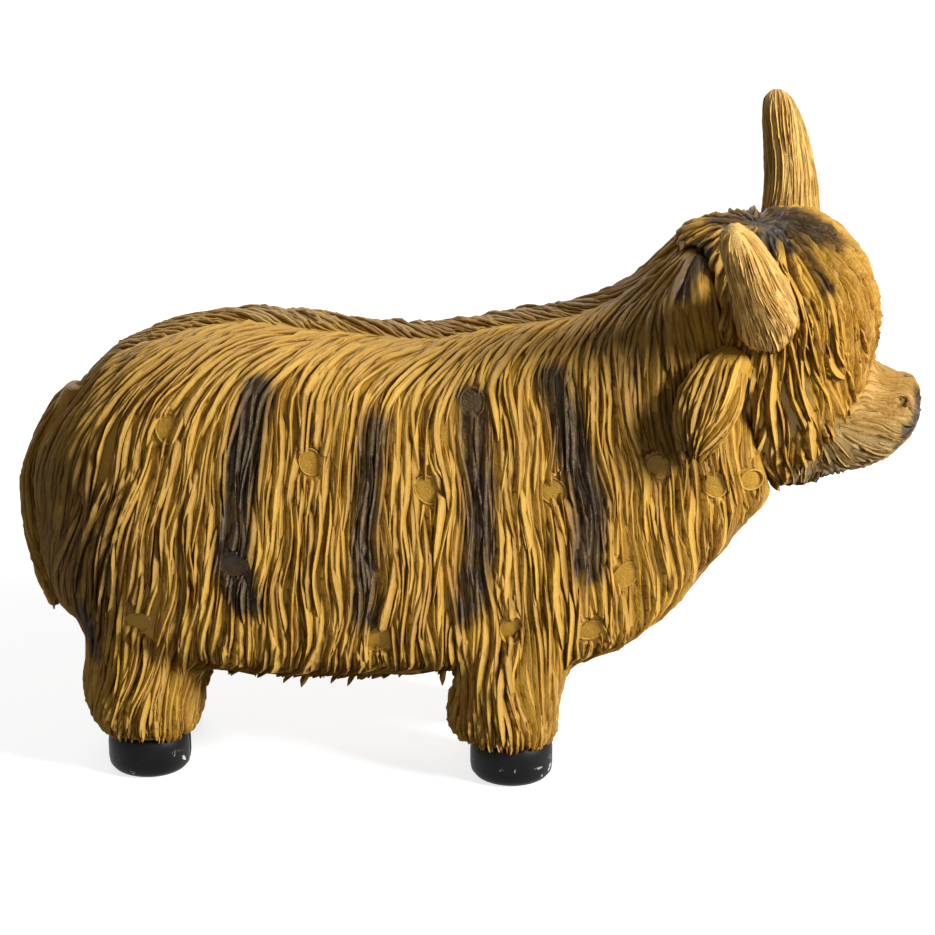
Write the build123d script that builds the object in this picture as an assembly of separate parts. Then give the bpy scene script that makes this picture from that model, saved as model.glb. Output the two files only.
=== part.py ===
from build123d import *

"""A standing long-haired cow ornament in cast resin. The torso, head, legs, hooves, horns, ears,
forelock and tail are cast apart and bonded on their seats.

Millimetres. +X points to the nose, +Y to the cow's left and +Z up. The origin is the middle of
the whole figure's box, on the ground. Every casting is laid out in the flat planes that a carver
blocks out before cutting the coat: rings of points go round the form at each station, and a skin
of flat triangles joins them. The head is drawn in a frame of its own, then tilted and turned, and
it slips over the neck. Legs, hooves, horns, ears and tail seat on square pegs that keep them from
turning, with one glue gap all round. The forelock and the tail brush are fans of tapered locks,
cut to the form that they lie on.
"""

import os
from math import cos, radians, sin

overrun = 10.0  # how far a cutter runs past what it cuts
glue_gap = 0.15  # all round every bonded seat
ring_sides = 12  # of the rings round the head, legs, hooves and horns

# Torso
rump_x = -142.0
torso_length = 242.0
back_height = 150.0
torso_half_width = 42.0

# Outline across the coat, down its left side: shares of the half width and the half height.
coat_outline_shares = [
    (0.0, 1.0),
    (0.52, 0.985),
    (0.86, 0.77),
    (0.99, 0.28),
    (0.98, -0.32),
    (0.83, -0.83),
    (0.44, -0.99),
    (0.0, -1.0),
]

# From the rump to the neck: shares of the torso length at the spine and at the belly, shares of
# the back height at the spine and at the belly, and the share of the half width.
torso_station_shares = [
    (0.000, 0.000, 0.700, 0.573, 0.21),
    (0.008, 0.008, 0.787, 0.470, 0.45),
    (0.029, 0.029, 0.860, 0.390, 0.64),
    (0.069, 0.069, 0.927, 0.330, 0.81),
    (0.143, 0.143, 0.980, 0.280, 0.95),
    (0.253, 0.253, 1.010, 0.252, 1.00),
    (0.371, 0.371, 0.990, 0.236, 0.99),
    (0.494, 0.494, 0.975, 0.242, 0.95),
    (0.624, 0.641, 1.010, 0.252, 0.905),
    (0.706, 0.747, 1.033, 0.268, 0.857),
    (0.776, 0.837, 1.087, 0.340, 0.786),
    (0.829, 0.906, 1.170, 0.475, 0.738),
    (0.869, 0.959, 1.207, 0.580, 0.690),
    (0.910, 1.000, 1.200, 0.660, 0.62),
]

# The coat's main strands: long swellings that run down both flanks, staggered like bricks, and
# lean forward over the back.
strand_spacing = 11.0
strand_length = 40.0
strand_height = 2.0
strand_sweep = 9.0  # how far ahead of the flank a strand starts, at the spine
strand_sweep_share = 0.3  # of the half height, where it starts to lean
strand_fade_rows = 4  # at each end, over which the lean dies away

# Blind round seats pressed into both flanks: shares of the torso length and the back height.
seat_radius = 2.5
seat_depth = 2.5
flank_seat_shares = [
    (0.191, 0.860),
    (0.380, 0.789),
    (0.535, 0.723),
    (0.593, 0.911),
    (0.700, 0.715),
    (0.281, 0.557),
    (0.152, 0.417),
    (0.471, 0.382),
    (0.646, 0.391),
    (0.753, 0.382),
    (0.798, 0.513),
    (0.842, 0.757),
]

# Hooves
hoof_radius = 14.0
hoof_height = 12.0
hoof_band_share = 0.5  # how much of the height is upright before it draws in
hoof_taper = 1.7
sole_round = 3.0
cleft_width = 1.6
cleft_depth = 5.0
hoof_peg_width = 11.0
hoof_peg_length = 6.0

# Legs. The coat of each hangs a little over its hoof, and the swelling behind is the fetlock tuft.
front_leg_setback = 84.5  # behind the neck's lower end
rear_leg_setback = 34.5  # ahead of the rump
front_leg_spread = 20.0  # from the centre plane to each leg's axis
rear_leg_spread = 16.5
coat_overhang = 2.0  # past the hoof's radius
hem_drop = 3.0  # below the hoof's top
leg_bury = 32.0  # how far the leg's form runs up past the belly, before it is cut to the body
leg_peg_width = 12.0
leg_peg_reach = 16.0  # above the belly
leg_peg_root = 12.0  # below the belly
leg_belly_share = 0.25  # of the back height, where the legs meet the belly

# Up each leg: the share of the way from its hem to its buried top, then shares of the leg radius
# behind the axis, ahead of it and to each side.
front_leg_shares = [
    (0.00, 0.90, 0.90, 0.90),
    (0.08, 1.16, 0.91, 0.94),
    (0.21, 1.42, 0.92, 0.98),
    (0.36, 1.26, 0.98, 0.98),
    (0.54, 1.12, 1.14, 0.96),
    (1.00, 1.25, 1.50, 0.90),
]
rear_leg_shares = [
    (0.00, 0.90, 0.90, 0.90),
    (0.08, 1.00, 0.95, 0.94),
    (0.21, 1.24, 1.12, 0.98),
    (0.36, 1.36, 1.21, 1.00),
    (0.54, 1.18, 1.31, 1.02),
    (1.00, 1.35, 1.60, 1.00),
]

# Head, drawn about its own middle with +X to the nose
head_lead = 1.0  # the middle's distance past the neck's lower end
head_dip = 2.0  # and below the back height
head_roll = 14.0
head_turn = -12.0
head_half_length = 31.0
head_half_width = 31.0
head_rise = 42.0
head_drop = 50.0

# Up the head: the share of the drop below the middle or of the rise above it, then shares of the
# half length behind and ahead of the middle, and of the half width.
head_station_shares = [
    (-1.00, -0.10, 0.45, 0.30),
    (-0.90, 0.30, 0.72, 0.62),
    (-0.60, 0.80, 0.90, 0.92),
    (-0.20, 1.00, 0.97, 1.02),
    (0.25, 1.05, 0.99, 1.00),
    (0.58, 1.08, 0.87, 0.88),
    (0.83, 1.05, 0.60, 0.66),
    (0.96, 0.86, 0.30, 0.36),
    (1.00, 0.45, 0.12, 0.12),
]

# Muzzle, on the head casting
muzzle_reach = 46.0
muzzle_level = -24.0
muzzle_half_height = 22.0
muzzle_half_width = 23.0
nostril_radius = 2.2
nostril_depth = 3.0
nostril_shares = (0.75, 0.36, 0.86)  # of the muzzle's reach, half width and level

# Along the muzzle: shares of its reach, its level, its half height and its half width.
muzzle_station_shares = [
    (0.20, 0.92, 1.20, 1.15),
    (0.48, 1.00, 1.00, 1.00),
    (0.66, 1.04, 0.83, 0.88),
    (0.80, 1.05, 0.64, 0.80),
    (0.91, 1.00, 0.48, 0.70),
    (1.00, 0.94, 0.26, 0.44),
]

# Horns, drawn for the left side of the head
horn_radius = 10.5
horn_lean = -8.0  # back, out and up from the buried root to the tip
horn_spread = 27.0
horn_rise = 50.5
horn_root_shares = (0.0, 0.645, 0.38)  # of the head's half length, half width and rise
horn_bow_shares = (0.12, 0.65, 0.515)  # of the lean, spread and rise, at the horn's middle
horn_peg_width = 7.0
horn_peg_share = 0.0  # of the path, where its peg starts
horn_peg_length = 26.0

# Along a horn: the share of its length, and of its radius.
horn_shares = [
    (0.0, 1.03),
    (0.2, 0.96),
    (0.4, 0.85),
    (0.62, 0.74),
    (0.8, 0.62),
    (0.92, 0.47),
    (0.98, 0.3),
    (1.0, 0.12),
]

# Ears, drawn for the left side of the head
ear_half_width = 10.0
ear_half_thickness = 4.4
ear_sides = 8
ear_lean = -11.0  # back, out and up from the buried root to the tip
ear_spread = 25.0
ear_droop = -28.0
ear_root_shares = (-0.29, 0.71, 0.24)  # of the head's half length, half width and rise
ear_bend_shares = (0.45, 0.76, 0.18)  # of the lean, spread and droop
ear_peg_width = 4.0
ear_peg_length = 14.0
ear_peg_share = 0.12  # of the path, where its peg starts, clear of the neck

# Along an ear: the share of its length, of its half width and of its half thickness.
ear_shares = [
    (0.0, 0.65, 0.9),
    (0.3, 0.88, 1.0),
    (0.55, 1.0, 0.95),
    (0.78, 0.82, 0.75),
    (0.93, 0.45, 0.5),
    (1.0, 0.1, 0.15),
]

# Locks of hair, each a tapered blade: shares of its length, half width and half thickness.
lock_shares = [(0.0, 0.55, 0.6), (0.2, 0.9, 0.95), (0.5, 1.0, 1.0), (0.8, 0.62, 0.75), (1.0, 0.12, 0.25)]

# Forelock: the bearing of each lock off the nose, and the level share at which its tip hangs.
forelock_half_width = 5.6
forelock_half_thickness = 3.0
forelock_bearings = [-60.0, -41.0, -21.0, -2.0, 17.0, 38.0, 59.0]
forelock_tip_shares = [0.16, -0.02, -0.16, -0.06, -0.2, -0.04, 0.12]
forelock_step_shares = [1.0, 0.93, 0.8, 0.6, 0.3, 0.0]  # levels from the crown to each lock's tip

# Tail
tail_set = 10.0  # the measure of how far the tail stands off the rump
tail_spread = 9.0  # from the middle lock to the outermost
tail_half_width = 4.6
tail_half_thickness = 5.6
tail_lock_shares = [(-1.0, 0.8), (-0.5, 0.93), (0.0, 1.0), (0.5, 0.88), (1.0, 0.76)]  # of spread, of length
tail_peg_width = 6.0
tail_peg_length = 16.0
tail_peg_share = 0.66  # of the back height

# At the root, dock, brush and end: shares of the set, of the back height and of the spread.
tail_station_shares = [(0.55, 0.867, 0.4), (0.17, 0.733, 0.65), (-0.1, 0.493, 1.0), (0.2, 0.36, 0.55)]


def smoothed(rows, closed=False):
    """The rows with one more between each pair, on a curve that runs through them all."""
    count = len(rows)
    finer = []
    for at in range(count if closed else count - 1):
        if closed:
            four = [rows[(at + step) % count] for step in (-1, 0, 1, 2)]
        else:
            four = [rows[min(max(at + step, 0), count - 1)] for step in (-1, 0, 1, 2)]
        finer.append(rows[at])
        finer.append(tuple((9 * (b + c) - a - d) / 16 for a, b, c, d in zip(*four)))
    return finer if closed else finer + [rows[-1]]


def ring(behind, ahead, side, sides=ring_sides):
    """Points that go round at these reaches behind, ahead and to each side of the middle."""
    points = []
    for turn in range(sides):
        along = cos(radians(360 * turn / sides))
        across = sin(radians(360 * turn / sides))
        points.append((along * (ahead if along > 0 else behind), across * side))
    return points


def on(plane, points):
    """Flat points carried onto a plane, as one ring of a skin."""
    return [plane.from_local_coords((x, y, 0)) for x, y in points]


def skin(rings):
    """A closed solid of flat triangles through rings of as many points each."""
    faces = [Face(Wire.make_polygon(rings[0])), Face(Wire.make_polygon(rings[-1]))]
    for near, far in zip(rings, rings[1:]):
        for turn in range(len(near)):
            a, b, c, d = near[turn - 1], near[turn], far[turn], far[turn - 1]
            faces.append(Face(Wire.make_polygon([a, b, c])))
            faces.append(Face(Wire.make_polygon([a, c, d])))
    return Part() + Solid(Shell(faces))


def peg(width, length, grown=0.0):
    """A square peg that stands on its plane's origin, with a gap all round where it is a socket."""
    side = width + 2 * grown
    return Box(side, side, length + grown, align=(Align.CENTER, Align.CENTER, Align.MIN))


def across_path(path, share, way):
    """A plane across a path, with its first axis as near to way as it can be."""
    along = path % share
    return Plane(origin=path @ share, x_dir=along.cross(Vector(*way)).cross(along), z_dir=along)


def blind_seat(form, start, direction):
    """Where a ray from inside a form comes out, as a plane there that faces outwards."""
    hits = form.find_intersection_points(Axis(start, direction))
    point, out = max(hits, key=lambda hit: (hit[0] - Vector(*start)).dot(Vector(*direction)))
    return Plane(origin=point, z_dir=out)


def drill(plane, radius, depth):
    """A round cutter that sinks to a depth below a plane."""
    cutter = Cylinder(radius, depth + overrun, align=(Align.CENTER, Align.CENTER, Align.MIN))
    return plane * Pos(0, 0, -depth) * cutter


def strand_rows(rows):
    """Each row with how far it stands out or in, and enough rows for a ridge at each spacing."""
    steps = []
    for near, far in zip(rows, rows[1:]):
        gap = (far[0] - near[0]) * torso_length
        count = max(1, round(2 * gap / strand_spacing))
        room = min(1, 2 * gap / count / strand_spacing)
        for step in range(count):
            row = tuple(a + (b - a) * step / count for a, b in zip(near, far))
            way = 1 if len(steps) % 2 else -1
            steps.append((row, way * room * strand_height / 2))
    steps[0] = (rows[0], 0.0)
    return steps + [(rows[-1], 0.0)]


def torso_form(grown=0.0):
    """The coated body from the rump to the neck, grown by a gap all round."""
    right = [(-across, up) for across, up in reversed(coat_outline_shares[1:-1])]
    outline = smoothed(coat_outline_shares + right, closed=True)
    rows = strand_rows(smoothed(torso_station_shares))
    rings = []
    for index, (row, relief) in enumerate(rows):
        top_share, foot_share, spine_share, belly_share, width_share = row
        top = Vector(rump_x + top_share * torso_length, 0, spine_share * back_height)
        foot = Vector(rump_x + foot_share * torso_length, 0, belly_share * back_height)
        up = (top - foot).normalized()
        half_height = (top - foot).length / 2 + grown
        half_width = width_share * torso_half_width + grown
        plane = Plane(origin=(top + foot) / 2, x_dir=(0, 1, 0), z_dir=(up.Z, 0, -up.X))
        fade = min(1, min(index, len(rows) - 1 - index) / strand_fade_rows)
        ring_points = []
        for w, h in outline:
            lean = max(0, h - strand_sweep_share) / (1 - strand_sweep_share)
            swell = relief * cos(radians(180 * h * half_height / strand_length))
            point = (w * (half_width + swell), h * (half_height + swell), fade * lean**2 * strand_sweep)
            ring_points.append(plane.from_local_coords(point))
        rings.append(ring_points)
    return skin(rings)


def flank_seats(form):
    """Cutters for the seats on both flanks."""
    cutters = []
    for along_share, height_share in flank_seat_shares:
        start = (rump_x + along_share * torso_length, 0, height_share * back_height)
        cutter = drill(blind_seat(form, start, (0, -1, 0)), seat_radius, seat_depth)
        cutters += [cutter, mirror(cutter, about=Plane.XZ)]
    return cutters


def hoof_form(grown=0.0):
    """The hoof's outer form on its own axis, without its peg or cleft."""
    foot = hoof_radius + grown
    levels = [
        (0, foot - sole_round),
        (sole_round / 3, foot - sole_round / 3),
        (sole_round, foot),
        (hoof_height * hoof_band_share, foot),
        (hoof_height + grown, foot - hoof_taper),
    ]
    return skin([on(Plane.XY.offset(level), ring(reach, reach, reach)) for level, reach in levels])


def hoof():
    cleft = Pos(hoof_radius, 0, 0) * Box(2 * cleft_depth, cleft_width, 2 * hoof_height + overrun)
    return hoof_form() - cleft + Pos(0, 0, hoof_height) * peg(hoof_peg_width, hoof_peg_length)


def leg_peg(grown=0.0):
    belly = leg_belly_share * back_height
    return Pos(0, 0, belly - leg_peg_root) * peg(leg_peg_width, leg_peg_root + leg_peg_reach, grown)


def leg(station_shares, place, body_form):
    """A leg on its own axis, hollowed for the hoof and cut to the body above it."""
    radius = hoof_radius + coat_overhang
    hem = hoof_height - hem_drop
    top = leg_belly_share * back_height + leg_bury
    rings = []
    for level, behind, ahead, side in smoothed(station_shares):
        plane = Plane.XY.offset(hem + level * (top - hem))
        rings.append(on(plane, ring(behind * radius, ahead * radius, side * radius)))
    socket = Pos(0, 0, hoof_height) * peg(hoof_peg_width, hoof_peg_length, glue_gap)
    shank = place * (skin(rings) - hoof_form(glue_gap) - socket)
    return shank - body_form + place * leg_peg()


def skull_station(station, grown=0.0):
    """Height and reaches of one station of the skull, in the head's own frame."""
    level, behind, ahead, side = station
    height = level * ((head_rise if level > 0 else head_drop) + grown)
    reach = head_half_length + grown
    return height, behind * reach, ahead * reach, side * (head_half_width + grown)


def head_form(grown=0.0):
    """Skull with its hanging cheek hair, and the muzzle, in the head's own frame."""
    skull_rings = []
    for station in smoothed(head_station_shares):
        height, behind, ahead, side = skull_station(station, grown)
        skull_rings.append(on(Plane.XY.offset(height), ring(behind, ahead, side)))
    muzzle_rings = []
    for reach, level, height, width in smoothed(muzzle_station_shares):
        middle = (reach * (muzzle_reach + grown), 0, level * muzzle_level)
        plane = Plane(origin=middle, x_dir=(0, 0, 1), z_dir=(1, 0, 0))
        half_height = height * muzzle_half_height + grown
        points = ring(half_height, half_height, width * muzzle_half_width + grown)
        muzzle_rings.append(on(plane, points))
    return skin(skull_rings) + skin(muzzle_rings)


def nostrils(form):
    """Cutters for both nostrils, square to the muzzle."""
    reach_share, out_share, level_share = nostril_shares
    start = (reach_share * muzzle_reach, 0, level_share * muzzle_level)
    way = Vector(muzzle_reach - start[0], out_share * muzzle_half_width, 0).normalized()
    cutter = drill(blind_seat(form, start, tuple(way)), nostril_radius, nostril_depth)
    return [cutter, mirror(cutter, about=Plane.XZ)]


def root_path(root_shares, reach, bend_shares):
    """A path from a root inside the head, through a bend, to a tip at that reach from the root."""
    root = Vector(
        root_shares[0] * head_half_length,
        root_shares[1] * head_half_width,
        root_shares[2] * head_rise,
    )
    bend = Vector(*[size * share for size, share in zip(reach, bend_shares)])
    return Spline(root, root + bend, root + Vector(*reach))


def root_peg(path, start_share, width, length, grown=0.0):
    """A peg up the first stretch of a path, with a gap all round where it is a socket."""
    plane = Plane(origin=path @ start_share, x_dir=(1, 0, 0), z_dir=path @ 0.5 - path @ 0)
    return plane * Pos(0, 0, -grown) * peg(width, length + grown, grown)


def horn(path, grown=0.0):
    rings = []
    for at, share in smoothed(horn_shares):
        reach = share * horn_radius + grown
        rings.append(on(across_path(path, at, (1, 0, 0)), ring(reach, reach, reach)))
    return skin(rings)


def ear(path, grown=0.0):
    rings = []
    for at, width, thickness in smoothed(ear_shares):
        half_width = width * ear_half_width + grown
        points = ring(half_width, half_width, thickness * ear_half_thickness + grown, ear_sides)
        rings.append(on(across_path(path, at, (1, 0, 0)), points))
    return skin(rings)


def lock(points, way, half_width, half_thickness):
    """A ridged, tapered blade of hair along its points, its width along way."""
    path = Spline(points)
    rings = []
    for at, width, thickness in smoothed(lock_shares):
        across = width * half_width
        through = thickness * half_thickness
        outline = [(across, 0), (0, through), (-across, 0), (0, -through)]
        rings.append(on(across_path(path, at, way), outline))
    return skin(rings)


def skull_point(level, bearing):
    """A point on the skull at a level share and a bearing off the nose."""
    stations = [skull_station(station) for station in head_station_shares]
    height = level * (head_rise if level > 0 else head_drop)
    for below, above in zip(stations, stations[1:]):
        if height <= above[0]:
            break
    step = (height - below[0]) / (above[0] - below[0])
    ahead = below[2] + step * (above[2] - below[2])
    side = below[3] + step * (above[3] - below[3])
    return ahead * cos(radians(bearing)), side * sin(radians(bearing)), height


def forelock():
    """Locks fanned from the crown over the brow, before they are cut to the head."""
    locks = []
    for bearing, tip in zip(forelock_bearings, forelock_tip_shares):
        levels = [tip + step * (1 - tip) for step in forelock_step_shares]
        points = [skull_point(level, bearing) for level in levels]
        way = (-sin(radians(bearing)), cos(radians(bearing)), 0)
        locks.append(lock(points, way, forelock_half_width, forelock_half_thickness))
    return Part() + locks


def tail():
    """Locks that gather at the root and spread into the brush, before they are cut to the body."""
    root_level = tail_station_shares[0][1]
    locks = []
    for side, length in tail_lock_shares:
        points = []
        for stand, level, gather in tail_station_shares:
            height = (root_level - (root_level - level) * length) * back_height
            points.append((rump_x + stand * tail_set, side * gather * tail_spread, height))
        locks.append(lock(points, (0, 1, 0), tail_half_width, tail_half_thickness))
    return Part() + locks


def tail_peg(grown=0.0):
    start = (rump_x - tail_half_thickness / 3, 0, tail_peg_share * back_height)
    return Plane(origin=start, z_dir=(1, 0, 0)) * peg(tail_peg_width, tail_peg_length, grown)


def body_parts(body, body_clear):
    """The torso with everything that hangs from it but the head."""
    parts = {}
    torso = body - flank_seats(body) - tail_peg(glue_gap)
    front_x = rump_x + torso_length - front_leg_setback
    rear_x = rump_x + rear_leg_setback
    ends = (
        ("front", front_x, front_leg_spread, front_leg_shares),
        ("rear", rear_x, rear_leg_spread, rear_leg_shares),
    )
    for end, x, spread, shares in ends:
        for side, y in (("left", spread), ("right", -spread)):
            place = Pos(x, y, 0)
            torso -= place * leg_peg(glue_gap)
            parts[f"leg_{end}_{side}"] = leg(shares, place, body_clear)
            parts[f"hoof_{end}_{side}"] = place * hoof()
    parts["torso"] = torso
    parts["tail"] = tail() - body_clear + tail_peg()
    return parts


def head_parts(body_clear):
    """The head with its horns, ears and forelock, tilted, turned and cut to the neck."""
    face = head_form()
    face_clear = head_form(glue_gap)
    horn_path = root_path(horn_root_shares, (horn_lean, horn_spread, horn_rise), horn_bow_shares)
    ear_path = root_path(ear_root_shares, (ear_lean, ear_spread, ear_droop), ear_bend_shares)
    horn_clear = horn(horn_path, glue_gap)
    ear_clear = ear(ear_path, glue_gap)
    horn_peg = (horn_path, horn_peg_share, horn_peg_width, horn_peg_length)
    ear_peg = (ear_path, ear_peg_share, ear_peg_width, ear_peg_length)
    horn_piece = horn(horn_path) - face_clear + root_peg(*horn_peg)
    ear_piece = ear(ear_path) - face_clear - horn_clear + root_peg(*ear_peg)
    sockets = [root_peg(*horn_peg, glue_gap), root_peg(*ear_peg, glue_gap)]
    face = face - nostrils(face)
    fringe = forelock() - face_clear
    place = Location((rump_x + torso_length + head_lead, 0, back_height - head_dip))
    place = place * Rot(0, 0, head_turn) * Rot(head_roll, 0, 0)
    parts = {}
    for side in ("left", "right"):
        if side == "right":
            left = (horn_piece, ear_piece, horn_clear, ear_clear, *sockets)
            right = [mirror(piece, about=Plane.XZ) for piece in left]
            horn_piece, ear_piece, horn_clear, ear_clear, *sockets = right
        face = face - sockets
        fringe = fringe - [horn_clear, ear_clear]
        parts[f"horn_{side}"] = place * horn_piece
        parts[f"ear_{side}"] = place * ear_piece - body_clear
    parts["forelock"] = place * fringe - body_clear
    parts["head"] = place * face - body_clear
    return parts


body_form = torso_form()
body_clearance = torso_form(glue_gap)
pieces = {**body_parts(body_form, body_clearance), **head_parts(body_clearance)}
box = Compound(list(pieces.values())).bounding_box()
to_origin = Pos(-box.center().X, -box.center().Y, -box.min.Z)
os.makedirs("parts", exist_ok=True)
for name, piece in pieces.items():
    export_step(to_origin * piece, f"parts/{name}.step")
print("figure", [round(size, 1) for size in box.size])
print("moved by", [round(step, 3) for step in to_origin.position])
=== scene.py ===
# %% [markdown]
# A long-haired cow, cast in resin. Such a figure is carved once, its coat cut strand by strand
# with a small gouge, then it is moulded, cast and painted by hand. Here the castings come from
# the frame, and this file lays the carved coat over them, one tapered lock after another, then
# paints everything. The frame is loaded first, because each piece takes its place from it.

# %% Open the frame
import itertools
import math
import bmesh
import bpy
import numpy as np
from mathutils import Euler, Matrix, Vector
from mathutils.bvhtree import BVHTree


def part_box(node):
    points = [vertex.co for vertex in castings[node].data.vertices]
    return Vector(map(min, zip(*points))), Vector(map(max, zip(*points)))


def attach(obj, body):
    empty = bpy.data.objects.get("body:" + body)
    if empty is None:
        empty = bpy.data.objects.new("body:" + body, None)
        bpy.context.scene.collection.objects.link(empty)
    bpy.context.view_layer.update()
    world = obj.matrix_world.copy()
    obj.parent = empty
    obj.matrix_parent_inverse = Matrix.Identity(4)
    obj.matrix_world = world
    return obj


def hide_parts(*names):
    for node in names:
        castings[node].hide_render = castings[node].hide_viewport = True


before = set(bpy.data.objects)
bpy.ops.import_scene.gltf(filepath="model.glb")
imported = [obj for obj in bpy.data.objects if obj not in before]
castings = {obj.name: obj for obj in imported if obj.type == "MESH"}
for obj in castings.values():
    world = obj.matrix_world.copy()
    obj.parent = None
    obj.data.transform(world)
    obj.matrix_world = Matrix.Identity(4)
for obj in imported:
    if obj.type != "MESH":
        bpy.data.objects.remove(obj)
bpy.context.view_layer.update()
scene = bpy.context.scene
mm = 0.001  # in metres
dice_seed = 41
dice = np.random.default_rng(dice_seed)
middle_plane = sum(corner.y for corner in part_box("torso")) / 2

# %% [markdown]
# The camera. A picture is easiest to match when the camera comes first, because then a place
# seen in the picture can be found on the object by sending a ray through its pixel. The picture
# shows the right flank square on, from a little above, through a short telephoto lens.

# %% Camera
picture_width = 935
picture_middle = picture_width / 2
focal_pixels = 2850
sensor_width = 36
camera_target = Vector((-0.5, 3.5, 102)) * mm
camera_distance = 950 * mm
camera_azimuth = math.radians(1.5)
camera_elevation = math.radians(20)
away = Vector((
    math.sin(camera_azimuth) * math.cos(camera_elevation),
    -math.cos(camera_azimuth) * math.cos(camera_elevation),
    math.sin(camera_elevation),
))
lens = bpy.data.cameras.new("lens")
lens.sensor_width = sensor_width
lens.lens = focal_pixels / picture_width * sensor_width
camera = bpy.data.objects.new("camera", lens)
camera.location = camera_target + away * camera_distance
camera.rotation_euler = away.to_track_quat("Z", "Y").to_euler()
scene.collection.objects.link(camera)
scene.camera = camera
print("lens", round(lens.lens, 1), "mm, from", [round(v, 3) for v in camera.location])

# %% [markdown]
# Smooth forms under the coat. The castings are blocked out in flat planes, as a carver leaves
# them before cutting hair. Locks laid straight on those planes would show every edge, so the
# guide that they follow is a copy of the castings, remeshed evenly, relaxed and subdivided. A
# voxel remesh also closes small seats and joins neighbouring castings into one skin.

# %% A smooth form round some castings
weld_gap = mm / 1000


def smooth_form(names, voxel, rounds, cuts, swell):
    """One even, relaxed mesh round the named castings, grown outwards by a little."""
    bm = bmesh.new()
    for name in names:
        bm.from_mesh(castings[name].data)
    bmesh.ops.remove_doubles(bm, verts=bm.verts, dist=weld_gap)
    mesh = bpy.data.meshes.new("form")
    bm.to_mesh(mesh)
    bm.free()
    block = bpy.data.objects.new("form", mesh)
    scene.collection.objects.link(block)
    even = block.modifiers.new("even", "REMESH")
    even.mode = "VOXEL"
    even.voxel_size = voxel
    relax = block.modifiers.new("relax", "SMOOTH")
    relax.iterations = rounds
    finer = block.modifiers.new("finer", "SUBSURF")
    finer.levels = finer.render_levels = cuts
    seen = block.evaluated_get(bpy.context.evaluated_depsgraph_get())
    form = bpy.data.meshes.new_from_object(seen)
    bpy.data.objects.remove(block)
    bm = bmesh.new()
    bm.from_mesh(form)
    for vert in bm.verts:
        vert.co += vert.normal * swell
    bm.to_mesh(form)
    bm.free()
    return form


# %% Feeling for a form
def feel(form):
    """A search tree over a mesh, for dropping points on to it."""
    bm = bmesh.new()
    bm.from_mesh(form)
    tree = BVHTree.FromBMesh(bm)
    bm.free()
    return tree


def inside(skin, point, way):
    """Whether a point lies in a closed form: then the first face that a ray meets turns its back."""
    found, out, _, _ = skin.ray_cast(point, way)
    return found is not None and out.dot(way) > 0


corners = [(end, side) for end in ("front", "rear") for side in ("left", "right")]
leg_names = [f"leg_{end}_{side}" for end, side in corners]
hoof_names = [f"hoof_{end}_{side}" for end, side in corners]
body_form = smooth_form(
    ["torso", *leg_names, *hoof_names], voxel=2.6 * mm, rounds=12, cuts=1, swell=0.3 * mm
)
head_form = smooth_form(
    ["head", "forelock"], voxel=1.9 * mm, rounds=7, cuts=1, swell=0.2 * mm
)
body_skin = feel(body_form)
head_skin = feel(head_form)
print("body form", len(body_form.polygons), "head form", len(head_form.polygons))

# %% [markdown]
# The head's own frame. The head is tilted and turned on the neck, so hair on it is easier to
# comb in a frame where X points to the nose and Y to the left ear.

# %% Head frame
head_middle = Vector((100.5, 3.5, 148)) * mm
head_roll = math.radians(14)
head_turn = math.radians(-12)
head_place = Matrix.Translation(head_middle) @ Euler((head_roll, 0, head_turn)).to_matrix().to_4x4()
to_head = head_place.inverted()
from_head = head_place.to_3x3()
print("head at", [round(v / mm, 1) for v in head_place.translation])

# %% [markdown]
# Places read off the picture. Small seats were pressed into the clay and airbrushed marks were
# put on afterwards. Both are listed by where the picture shows them, and a ray from the camera
# finds each one on the coat. Most of them are mirrored to the other flank.


# %% From a pixel to the coat
def on_coat(pixel):
    """The point of the coat behind a pixel of the picture, and which way the coat faces there."""
    ray = Vector((pixel[0] - picture_middle, picture_middle - pixel[1], -focal_pixels))
    ray.rotate(camera.rotation_euler)
    found = []
    for skin in (body_skin, head_skin):
        point, facing, _, far = skin.ray_cast(camera.location, ray.normalized())
        if point:
            found.append((far, point, facing))
    return min(found, key=lambda hit: hit[0])[1:] if found else None


def across_body(vector, offset=0.0):
    return Vector((vector.x, 2 * offset - vector.y, vector.z))


def across_head(point):
    return head_place @ across_body(to_head @ point)


# %% [markdown]
# The nose. The smooth form runs straight from the brow to the nose, where the real bridge dips
# and the nose pad stands up. Two soft pushes on the form's points, right across the muzzle, give
# that line back.

# %% Shape the nose
bridge_pixel = (889, 370)
bridge_reach = 11 * mm
bridge_dip = -3.6 * mm
pad_pixel = (906, 383)
pad_reach = 6 * mm
pad_rise = 0.9 * mm
nose_pushes = [(bridge_pixel, bridge_reach, bridge_dip), (pad_pixel, pad_reach, pad_rise)]
for pixel, reach, push in nose_pushes:
    point, facing = on_coat(pixel)
    middle = to_head @ point
    way = from_head.inverted() @ facing
    way.y = 0
    way = from_head @ way.normalized()
    for vert in head_form.vertices:
        spot = to_head @ vert.co
        share = math.hypot(spot.x - middle.x, spot.z - middle.z) / reach
        if share < 1:
            vert.co += way * push * (1 - share * share) ** 2
head_skin = feel(head_form)
nostril_pixel = (903, 402)
nostril, nostril_facing = on_coat(nostril_pixel)
nostrils = [nostril, across_head(nostril)]
print("nostrils", [[round(v / mm, 1) for v in place] for place in nostrils])
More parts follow.
